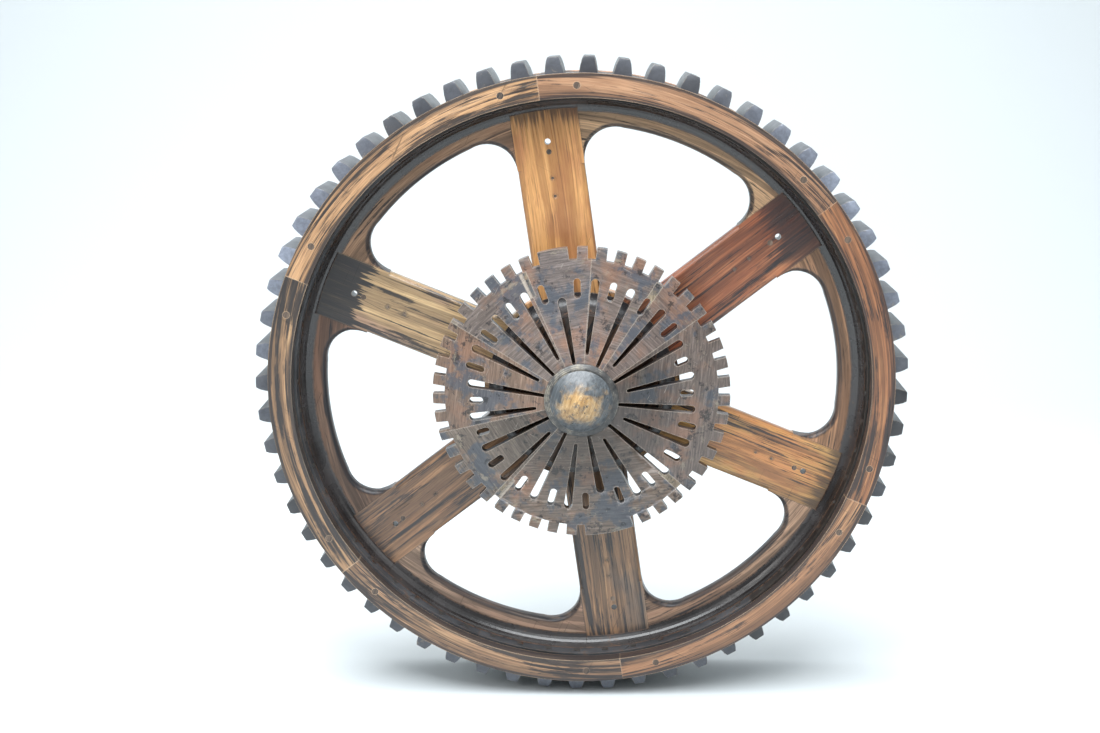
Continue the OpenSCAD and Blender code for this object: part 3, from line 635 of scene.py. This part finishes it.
for k, tone in enumerate(DISC_TONES):
    start = DISC_JOINTS[k]
    end = DISC_JOINTS[k + 1] if k + 1 < len(DISC_JOINTS) else DISC_JOINTS[0] + 360
    board = disc_wood(f"disc_wood_{k + 1}", DISC_TURN + (start + end) / 2 + 90, 210.0 + 4 * k, tone,
                      0.55 if k in SHADED_BOARDS else 1.15)
    dress(f"disc_sector_{k + 1}", board)
    soften(f"disc_sector_{k + 1}", 0.0009, 2)
dress("disc_inlays", disc_wood("inlay_wood", 0.0, 250.0, (0.19, 0.15, 0.10)))
dress("disc_backing", old_wood("backing_wood", 0.0, 254.0, (0.32, 0.20, 0.12), (0.18, 0.11, 0.07),
                               (0.04, 0.028, 0.022), 0.6))
for node in ("hub_front", "hub_back"):
    dress(node, old_wood(f"{node}_wood", 30.0, 258.0 + len(node), (0.34, 0.19, 0.11),
                         (0.18, 0.100, 0.062), (0.030, 0.022, 0.018), 0.5, rough=(0.22, 0.42),
                         black=(0.1155, 0.120), edge=0.9, coat=0.5))
    soften(node, 0.0020, 3)
for node in ("arm_plugs", "rim_plugs"):
    dress(node, old_wood(f"{node}_wood", 20.0, 262.0 + len(node), (0.26, 0.19, 0.14),
                         (0.15, 0.105, 0.075), (0.04, 0.028, 0.022), 0.6, rough=(0.5, 0.7),
                         edge=0.0))
SCREW = iron("screw_iron", 270.0, (0.11, 0.105, 0.10), rust=0.5)
for node in ("tooth_screws", "hub_screws"):
    dress(node, SCREW)
SPINDLE = iron("spindle_iron", 272.0, (0.28, 0.28, 0.285), rust=0.1, rough=0.35)
for node in ("spindle", "spindle_cap"):
    dress(node, SPINDLE)
BRASS = iron("bush_brass", 274.0, (0.42, 0.30, 0.11), rust=0.0, rough=0.4)
for node in ("thrust_washer", "disc_bush"):
    dress(node, BRASS)


# --- web segments: window edges rounded over, butt ends left square ---

def from_arm(side, x, y):
    """A point x beside and y along the arm at one side, in the segment's own plane."""
    h = math.radians(ARM_STEP / 2)
    return Vector((side * (y * math.sin(h) - x * math.cos(h)), y * math.cos(h) + x * math.sin(h)))


def arc_points(centre, radius, a0, a1, steps):
    return [centre + Vector((radius * math.sin(math.radians(a0 + (a1 - a0) * i / steps)),
                             radius * math.cos(math.radians(a0 + (a1 - a0) * i / steps))))
            for i in range(steps + 1)]


def window_outline():
    """The segment's window side from the left arm to the right arm, seen from the front."""
    half = ARM_STEP / 2
    lean = math.degrees(math.asin(CORNER_X / CORNER_REACH))
    meet = math.acos((CORNER_REACH ** 2 + CORNER_R ** 2 - WINDOW_R ** 2)
                     / (2 * CORNER_REACH * CORNER_R))
    past = 180 - math.degrees(meet)
    ahead = math.degrees(math.asin(CORNER_R * math.sin(meet) / WINDOW_R))
    left = arc_points(from_arm(-1, CORNER_X, CORNER_Y), CORNER_R, -90 - half, lean - half + past,
                      14)
    start = lean - half + ahead
    middle = arc_points(Vector((0, 0)), WINDOW_R, start, -start, 26)
    right = [Vector((-p.x, p.y)) for p in reversed(left)]
    return left, middle[1:-1], right


def round_room(p, centre, first):
    """How far the rounding may reach into the board from a point on a window corner."""
    out = (p - centre).normalized()
    lean = out.dot(first)
    room = CORNER_R / lean - CORNER_R if lean > 0.05 else EDGE_ROUND
    return out, min(EDGE_ROUND, 0.94 * room)


def web_segment(k):
    """One board: its window side rounded over in rows, its ends and its rim side square."""
    left, middle, right = window_outline()
    centre = from_arm(-1, CORNER_X, CORNER_Y)
    first = (left[0] - centre).normalized()
    corner = [(p, *round_room(p, centre, first)) for p in left]
    far = [(Vector((-p.x, p.y)), Vector((-n.x, n.y)), e) for p, n, e in reversed(corner)]
    inner = corner + [(p, p.normalized(), EDGE_ROUND) for p in middle] + far
    reach = math.sqrt(CORE_INNER_R ** 2 - ARM_HALF ** 2)
    a_edge = math.degrees(math.atan2(ARM_HALF, reach))
    outer = arc_points(Vector((0, 0)), CORE_INNER_R - WEB_GAP, ARM_STEP / 2 - a_edge,
                       a_edge - ARM_STEP / 2, 40)
    bm = bmesh.new()
    steps = 6
    rows = []
    for side in (-1, 1):
        fan = []
        for i in range(steps + 1):
            a = math.radians(90 * i / steps)
            fan.append([bm.verts.new((p.x + n.x * e * (1 - math.sin(a)),
                                      side * (WEB_HALF - e * (1 - math.cos(a))),
                                      p.y + n.y * e * (1 - math.sin(a)))) for p, n, e in inner])
        rows.append(fan)
    edge = [[bm.verts.new((p.x, side * WEB_HALF, p.y)) for p in outer] for side in (-1, 1)]
    bm.faces.new(rows[0][0] + edge[0])
    bm.faces.new(list(reversed(rows[1][0] + edge[1])))
    strips = rows[0] + list(reversed(rows[1]))
    for a, b in zip(strips, strips[1:]):
        for i in range(len(inner) - 1):
            bm.faces.new((a[i + 1], a[i], b[i], b[i + 1]))
    for i in range(len(outer) - 1):
        bm.faces.new((edge[0][i + 1], edge[0][i], edge[1][i], edge[1][i + 1]))
    for i, o in ((-1, 0), (0, -1)):
        bm.faces.new([edge[0][o], *[row[i] for row in strips], edge[1][o]])
    bmesh.ops.remove_doubles(bm, verts=bm.verts, dist=0.00001)
    bmesh.ops.transform(bm, matrix=Matrix.Rotation(
        math.radians(WHEEL_TURN + (k + 0.5) * ARM_STEP), 4, "Y"), verts=bm.verts)
    piece(f"web_board_{k + 1}", bm, WEB_WOOD[k], "wheel", f"web_segment_{k + 1}", 50)


for k in range(ARMS):
    web_segment(k)


# --- teeth: hand-cut blocks, no two quite alike ---

PALE_TEETH = ((298.0, 1.0), (55.0, 1.0), (180.0, 0.55))    # middle of a stretch of painted reflection on the teeth, how strong
PALE_REACH = 20
TOOTH_RISE = TIP_R - CORE_R
TOOTH_FALL = TOOTH_HALF_BASE - TOOTH_HALF_TIP
TOOTH_FLANK = [(TOOTH_HALF_BASE, CORE_R - TOOTH_SEAT)] + [
    (TOOTH_HALF_BASE - fall * TOOTH_FALL, CORE_R + rise * TOOTH_RISE)
    for fall, rise in ((0.10, 0.2), (0.32, 0.5), (0.62, 0.78))] + [(TOOTH_HALF_TIP, TIP_R)]
TOOTH_LOOP = TOOTH_FLANK + [(-x, r) for x, r in reversed(TOOTH_FLANK)]
TOOTH_ENDS = ((-TOOTH_HALF_FACE, 0.955), (TOOTH_HALF_FACE, 1.0))    # y, and how wide it is there
FACE_DRAFT = 0.016                 # the ends lean back by this share of the half length


def add_tooth(bm, angle, rng):
    """One tooth standing up at the top of the wheel, made uneven, then turned to its angle."""
    wide = 1.0 + rng.uniform(-0.04, 0.03)
    nod = rng.uniform(-0.0016, 0.0)
    cheek = rng.uniform(-0.0008, 0.0008)
    short = rng.uniform(0.0, 0.0009)
    lean = 0.35 * rng.uniform(-0.25, 0.25)
    ends = []
    for y, draft in TOOTH_ENDS:
        verts = []
        for x, r in TOOTH_LOOP:
            top = max((r - CORE_R) / TOOTH_RISE, 0.0)
            jig = rng.uniform(-0.00025, 0.00025) * top
            slope = nod * top + cheek * x / TOOTH_HALF_BASE if y < 0 and top > 0 else 0.0
            verts.append(bm.verts.new((x * wide * draft + jig,
                                       y * (1 - FACE_DRAFT * top) - min(slope, 0.0),
                                       r - short * top)))
        ends.append(verts)
    a, b = ends
    faces = [bm.faces.new(a), bm.faces.new(list(reversed(b)))]
    n = len(a)
    for i in range(n):
        j = (i + 1) % n
        faces.append(bm.faces.new((a[j], a[i], b[i], b[j])))
    tip = {a[4], a[5], b[4], b[5]}
    edges = set()
    for f in faces[:2]:
        edges.update(f.edges)
    edges.update(e for e in bm.edges if e.verts[0] in tip and e.verts[1] in tip)
    foot = [e for e in edges if all(v.co.z < CORE_R for v in e.verts)]
    edges = [e for e in edges if e not in foot]
    made = bmesh.ops.bevel(bm, geom=edges, offset=rng.uniform(0.0010, 0.0022), segments=2,
                           profile=0.6, affect="EDGES", clamp_overlap=True)
    verts = {v for f in faces if f.is_valid for v in f.verts} | set(made["verts"])
    bmesh.ops.transform(bm, matrix=Matrix.Rotation(math.radians(angle + lean), 4, "Y"),
                        verts=list(verts))
    # pale: how much painted reflection a tooth carries, strongest round the PALE_TEETH stretches,
    # with a random part
    layer = bm.verts.layers.float.new("pale")
    near = [(((angle - middle + 180) % 360 - 180) / PALE_REACH, share)
            for middle, share in PALE_TEETH]
    glow = max(math.exp(-n * n) * share for n, share in near) * rng.uniform(0.55, 1.0)
    pale_jitter = rng.uniform(0.0, 0.22)
    for v in bm.verts:
        v[layer] = min(1.0, glow + pale_jitter)


rng = random.Random(7)
for k in range(ARMS):
    bm = bmesh.new()
    for i in range(TEETH_PER_NODE):
        one = bmesh.new()
        add_tooth(one, WHEEL_TURN + k * ARM_STEP + (i + 0.5) * TOOTH_STEP, rng)
        spare = bpy.data.meshes.new("spare")
        one.to_mesh(spare)
        one.free()
        bm.from_mesh(spare)
        bpy.data.meshes.remove(spare)
    piece(f"tooth_blocks_{k + 1}", bm, TOOTH_PAINT[k], "wheel", f"teeth_{k + 1}", 28)


# --- dome: turned, rubbed to bare wood on top, with its ring ---

def lathe(name, profile, material, body, replaced, steps=96, smooth_angle=40):
    """Turns (radius, distance in front of the web) points about the wheel's axis."""
    bm = bmesh.new()
    rings = []
    for r, h in profile:
        if r < 1e-6:
            rings.append([bm.verts.new((0, -h, 0))])
        else:
            rings.append([bm.verts.new(polar(r, 360 * i / steps, -h)) for i in range(steps)])
    for a, b in zip(rings, rings[1:]):
        for i in range(steps):
            j = (i + 1) % steps
            quad = [a[i % len(a)], a[j % len(a)], b[j % len(b)], b[i % len(b)]]
            seen = []
            for v in quad:
                if v not in seen:
                    seen.append(v)
            if len(seen) > 2:
                bm.faces.new(seen)
    piece(name, bm, material, body, replaced, smooth_angle)


def dome_material():
    """Grey paint rubbed through to tan wood round a spot a little off the middle."""
    t = Tree("dome_wood")
    spot = t.raw()
    rough_patch = t.noise(spot, 42.0, detail=6.0, rough=0.72, warp=0.9)
    wide = t.noise(t.vec("ADD", spot, (0.31, 0.0, 0.17)), 26.0, detail=4.0, rough=0.6, warp=0.5)
    fibre = t.noise(t.place(20.0, 3.0, (20.0, 260.0, 260.0)), detail=4.0, rough=0.65)
    tan = t.ramp(t.math("ADD", t.math("MULTIPLY", fibre, 0.5), t.math("MULTIPLY", wide, 0.5)),
                 [(0.36, (0.20, 0.105, 0.040)), (0.50, (0.46, 0.285, 0.120)),
                  (0.64, (0.72, 0.520, 0.290))])
    grey = t.ramp(fibre, [(0.3, (0.024, 0.028, 0.034)), (0.7, (0.120, 0.135, 0.145))])
    aside = t.vec("MULTIPLY", t.vec("ADD", spot, (0.003, 0.0, 0.004)), (0.85, 0.0, 1.25))
    out = t.math("ADD", t.vec("LENGTH", aside), t.math("MULTIPLY", wide, 0.075))
    out = t.math("ADD", out, t.math("MULTIPLY", rough_patch, 0.055))
    out = t.span(out, 0.078, 0.106)
    spots = t.noise(spot, 95.0, detail=5.0, rough=0.7, warp=0.6)
    patch = t.math("MAXIMUM", t.span(rough_patch, 0.53, 0.66, 0.0, 0.75),
                   t.span(spots, 0.54, 0.64, 0.0, 0.70))
    colour = t.mix(t.math("MAXIMUM", out, patch), tan, grey)
    pit = t.noise(spot, 210.0, detail=3.0, rough=0.6)
    pit = t.math("MULTIPLY", t.span(pit, 0.62, 0.70), t.span(t.radius(), 0.010, 0.022, 1.0, 0.0))
    colour = t.mix(pit, colour, (0.012, 0.010, 0.010))
    sheen = t.span(spots, 0.3, 0.7, 0.24, 0.50, smooth=False)
    height = t.math("ADD", t.math("MULTIPLY", fibre, 0.25), t.math("MULTIPLY", rough_patch, 0.8))
    height = t.math("SUBTRACT", height, t.math("MULTIPLY", pit, 0.9))
    return t.finish(colour, sheen, height, bump=0.5, depth=0.0010, coat=0.25, coat_rough=0.22)


def flange_material():
    """Dark, with pale turning lines and a rubbed edge."""
    t = Tree("flange_wood")
    spot = t.raw()
    turned = t.math("SINE", t.math("MULTIPLY", t.radius(), 2600.0))
    cloud = t.noise(spot, 38.0, detail=5.0, rough=0.7)
    colour = t.ramp(cloud, [(0.34, (0.016, 0.017, 0.019)), (0.5, (0.060, 0.058, 0.056)),
                            (0.68, (0.21, 0.18, 0.13))])
    ring = t.math("MULTIPLY", t.span(turned, 0.80, 1.0), t.span(cloud, 0.45, 0.62))
    colour = t.mix(t.math("MULTIPLY", ring, 0.6), colour, (0.58, 0.56, 0.50))
    rub = t.math("MULTIPLY", t.edges(0.0015), t.span(cloud, 0.42, 0.58))
    colour = t.mix(rub, colour, (0.60, 0.55, 0.42))
    sheen = t.span(cloud, 0.3, 0.7, 0.30, 0.55, smooth=False)
    height = t.math("ADD", t.math("MULTIPLY", turned, 0.06), cloud)
    return t.finish(colour, sheen, height, bump=0.4, depth=0.0008, coat=0.15)


def dome_profile(steps=28):
    """From the hollow over the spindle's cap, round the seat, and up the crown to the axis."""
    seat = DOME_FOOT - DOME_SEAT
    rows = [(0.0, CAP_ROOM_TOP), (CAP_ROOM_R, CAP_ROOM_TOP), (CAP_ROOM_R, seat),
            (DOME_SEAT_R, seat), (DOME_SEAT_R, DOME_FOOT), (DOME_R, DOME_FOOT)]
    for i in range(1, steps + 1):
        u = 1 - i / steps
        belly = 0.50 * (1 - u) + 0.50 * (1 - u ** 2.6)
        rows.append((DOME_R * u, DOME_FOOT + (DOME_TOP - DOME_FOOT) * belly))
    return rows


lathe("dome_turned", dome_profile(), dome_material(), "disc", "dome_boss")
dress("dome_flange", flange_material())
soften("dome_flange", 0.0006, 2)


# --- studio ---

FLOOR_GAP = 0.0015                 # below the lowest tooth
FLOOR_NEAR = -6.0
SWEEP_START = 1.6                  # where the floor starts to curve up into the backdrop
SWEEP_R = 1.4
SWEEP_STEPS = 12
BACKDROP_HEIGHT = 6.0
FLOOR_HALF = 7.0
FLOOR_TONE = (0.60, 0.635, 0.648)


def studio():
    """A floor that curves up into a backdrop."""
    floor_z = cad_low[2] - FLOOR_GAP
    bm = bmesh.new()
    profile = [(FLOOR_NEAR, floor_z), (SWEEP_START, floor_z)]
    for i in range(1, SWEEP_STEPS + 1):
        a = math.radians(90 * i / SWEEP_STEPS)
        profile.append((SWEEP_START + SWEEP_R * math.sin(a),
                        floor_z + SWEEP_R - SWEEP_R * math.cos(a)))
    profile.append((SWEEP_START + SWEEP_R, floor_z + BACKDROP_HEIGHT))
    rows = [[bm.verts.new((x, y, z)) for y, z in profile] for x in (-FLOOR_HALF, FLOOR_HALF)]
    for i in range(len(profile) - 1):
        bm.faces.new((rows[0][i], rows[1][i], rows[1][i + 1], rows[0][i + 1]))
    mesh = bpy.data.meshes.new("studio_floor")
    bm.to_mesh(mesh)
    bm.free()
    for poly in mesh.polygons:
        poly.use_smooth = True
    ob = bpy.data.objects.new("studio_floor", mesh)
    bpy.context.scene.collection.objects.link(ob)
    mesh.materials.append(Tree("studio_white").finish(FLOOR_TONE, 0.75))


def softbox(name, place, aim, size, power, tint):
    data = bpy.data.lights.new(name, "AREA")
    data.shape = "RECTANGLE"
    data.size, data.size_y = size
    data.energy = power
    data.color = tint
    ob = bpy.data.objects.new(name, data)
    ob.location = place
    ob.rotation_euler = (Vector(aim) - Vector(place)).to_track_quat("-Z", "Y").to_euler()
    bpy.context.scene.collection.objects.link(ob)


SKY_TONE = (0.90, 0.96, 1.0, 1.0)
SKY_RISE = (-0.05, 0.90)           # heights between which its light grows
SKY_LIGHT = (0.16, 0.85)           # from the lowest to the highest


def sky():
    """Light that grows towards the top, on a background that looks evenly bright itself."""
    world = bpy.data.worlds.new("studio")
    world.use_nodes = True
    nt = world.node_tree
    glow = nt.nodes["Background"]
    where = nt.nodes.new("ShaderNodeTexCoord")
    split = nt.nodes.new("ShaderNodeSeparateXYZ")
    rise = nt.nodes.new("ShaderNodeMapRange")
    rise.interpolation_type = "SMOOTHSTEP"
    for i, v in enumerate(SKY_RISE + SKY_LIGHT):
        rise.inputs[1 + i].default_value = v
    nt.links.new(where.outputs["Generated"], split.inputs[0])
    nt.links.new(split.outputs["Z"], rise.inputs[0])
    seen = nt.nodes.new("ShaderNodeLightPath")
    direct = nt.nodes.new("ShaderNodeMath")
    direct.operation = "MAXIMUM"
    nt.links.new(rise.outputs[0], direct.inputs[0])
    nt.links.new(seen.outputs["Is Camera Ray"], direct.inputs[1])
    nt.links.new(direct.outputs[0], glow.inputs[1])
    glow.inputs[0].default_value = SKY_TONE
    bpy.context.scene.world = world


SOFTBOXES = [                      # name, place, aimed at, size, watts, tint
    ("overhead", (-0.35, -0.75, 2.75), (0, -0.15, 0), (3.4, 2.8), 260, (0.94, 0.975, 1.0)),
    ("front_left", (-2.6, -2.3, 1.9), (0, 0, 0.05), (1.2, 1.2), 26, (1.0, 0.985, 0.96)),
    ("front_right", (2.6, -2.2, 1.3), (0, 0, 0), (1.2, 1.6), 8, (1.0, 0.99, 0.97)),
    ("backdrop_wash", (0.0, 1.1, 2.6), (0, 2.6, 0.9), (4.0, 1.0), 16, (0.94, 0.98, 1.0)),
]

studio()
sky()
for box in SOFTBOXES:
    softbox(*box)
bpy.context.scene.view_settings.view_transform = "Standard"
